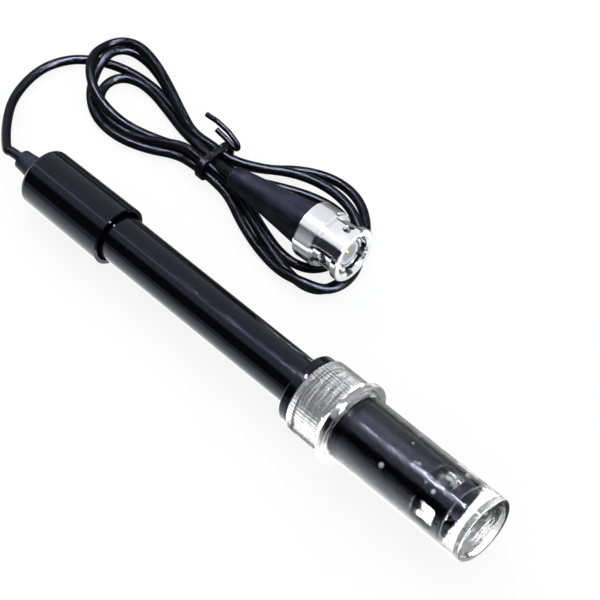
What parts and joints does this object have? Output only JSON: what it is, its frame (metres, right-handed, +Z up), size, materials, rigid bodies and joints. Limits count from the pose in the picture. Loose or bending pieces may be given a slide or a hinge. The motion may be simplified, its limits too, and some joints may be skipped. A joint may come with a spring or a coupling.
{
  "type": "ph electrode",
  "caption": "Black probe tube with a glass bulb behind guard windows, a clear screw-capped storage bottle on its tip, and a tied cable that ends in a bayonet coupling plug.",
  "frame": {"origin": "on the surface that the electrode lies on, under the middle of its bounding box without the cable", "axes": "+X along the electrode from its cable gland to its storage bottle, +Z up; the hank and plug lie on +Y"},
  "size_m": [0.1734, 0.0635, 0.021],
  "materials": {
    "black_plastic": "glossy moulded black plastic",
    "black_rubber": "matt black rubber",
    "cable_jacket": "satin black cable jacket",
    "tie_plastic": "black plastic over a wire",
    "electrode_glass": "clear blown glass",
    "clear_plastic": "clear moulded plastic",
    "seal_rubber": "soft black rubber",
    "junction_ceramic": "white porous ceramic",
    "potting_resin": "cast resin",
    "silver": "drawn silver wire",
    "nickel": "bright nickel plating",
    "gold_pin": "gold plating",
    "white_insulator": "white insulator",
    "core_insulation": "pale cable core"
  },
  "bodies": {
    "electrode": {"upper_cap": "black_plastic", "cable_gland": "black_rubber", "body_tube": "black_plastic", "glass_electrode": "electrode_glass", "stem_seal": "seal_rubber", "reference_junction": "junction_ceramic", "top_potting": "potting_resin", "silver_wire": "silver", "reference_wire": "silver", "plug_boot": "black_rubber", "crimp_ferrule": "nickel", "cable_core": "core_insulation", "plug_body": "nickel", "plug_gasket": "seal_rubber", "snap_ring": "nickel", "plug_insulator": "white_insulator", "plug_pin": "gold_pin", "cable_lead": "cable_jacket", "cable_tail": "cable_jacket", "cable_hank": "cable_jacket", "cable_tie": "tie_plastic"},
    "bottle": {"storage_bottle": "clear_plastic"},
    "cap_seal": {"grip_ring": "black_plastic", "sealing_washer": "seal_rubber"},
    "screw_cap": {"bottle_cap": "clear_plastic"},
    "sleeve_float": {"thrust_washer": "nickel"},
    "sleeve": {"coupling_sleeve": "nickel"}
  },
  "joints": [
    {"name": "bottle_pull", "type": "slide", "parent": "electrode", "child": "bottle", "axis": [0.9995, 0, 0.0306], "range_m": [0, 0.055]},
    {"name": "seal_shift", "type": "slide", "parent": "bottle", "child": "cap_seal", "axis": [-0.9995, 0, -0.0306], "range_m": [0, 0.0041]},
    {"name": "cap_turn", "type": "hinge", "parent": "cap_seal", "child": "screw_cap", "pos_m": [0.0296, 0, 0.01035], "axis": [-0.9995, 0, -0.0306], "range_deg": [0, 720]},
    {"name": "sleeve_float", "type": "slide", "parent": "electrode", "child": "sleeve_float", "axis": [0.9973, 0.061, 0.0419], "range_m": [0, 0.0004], "stiffness_N_per_m": 3000},
    {"name": "sleeve_turn", "type": "hinge", "parent": "sleeve_float", "child": "sleeve", "pos_m": [-0.00379, 0.03356, 0.00956], "axis": [0.9973, 0.061, 0.0419], "continuous": true}
  ],
  "couplings": [
    {"joint": "seal_shift", "follows": "cap_turn", "m_per_rad": 0.00031831}
  ]
}
